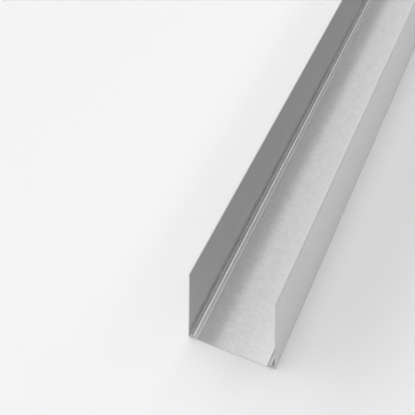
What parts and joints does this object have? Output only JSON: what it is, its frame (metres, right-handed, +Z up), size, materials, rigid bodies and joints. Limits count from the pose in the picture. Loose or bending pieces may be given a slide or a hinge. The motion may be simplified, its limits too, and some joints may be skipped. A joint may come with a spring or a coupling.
{
  "type": "drywall track",
  "caption": "Straight U-shaped steel track with deep toed-in flanges and a raised bead beside each bend, which holds the ends of wall studs.",
  "frame": {"origin": "centre of the web's underside, halfway along the length", "axes": "+Y along the track, +X across the web, +Z up, from the web towards the open side"},
  "size_m": [0.0422, 3.048, 0.0508],
  "materials": {
    "galvanised_steel": "satin hot-dip galvanised sheet, as rolled"
  },
  "bodies": {
    "root": {"track": "galvanised_steel"}
  },
  "joints": []
}
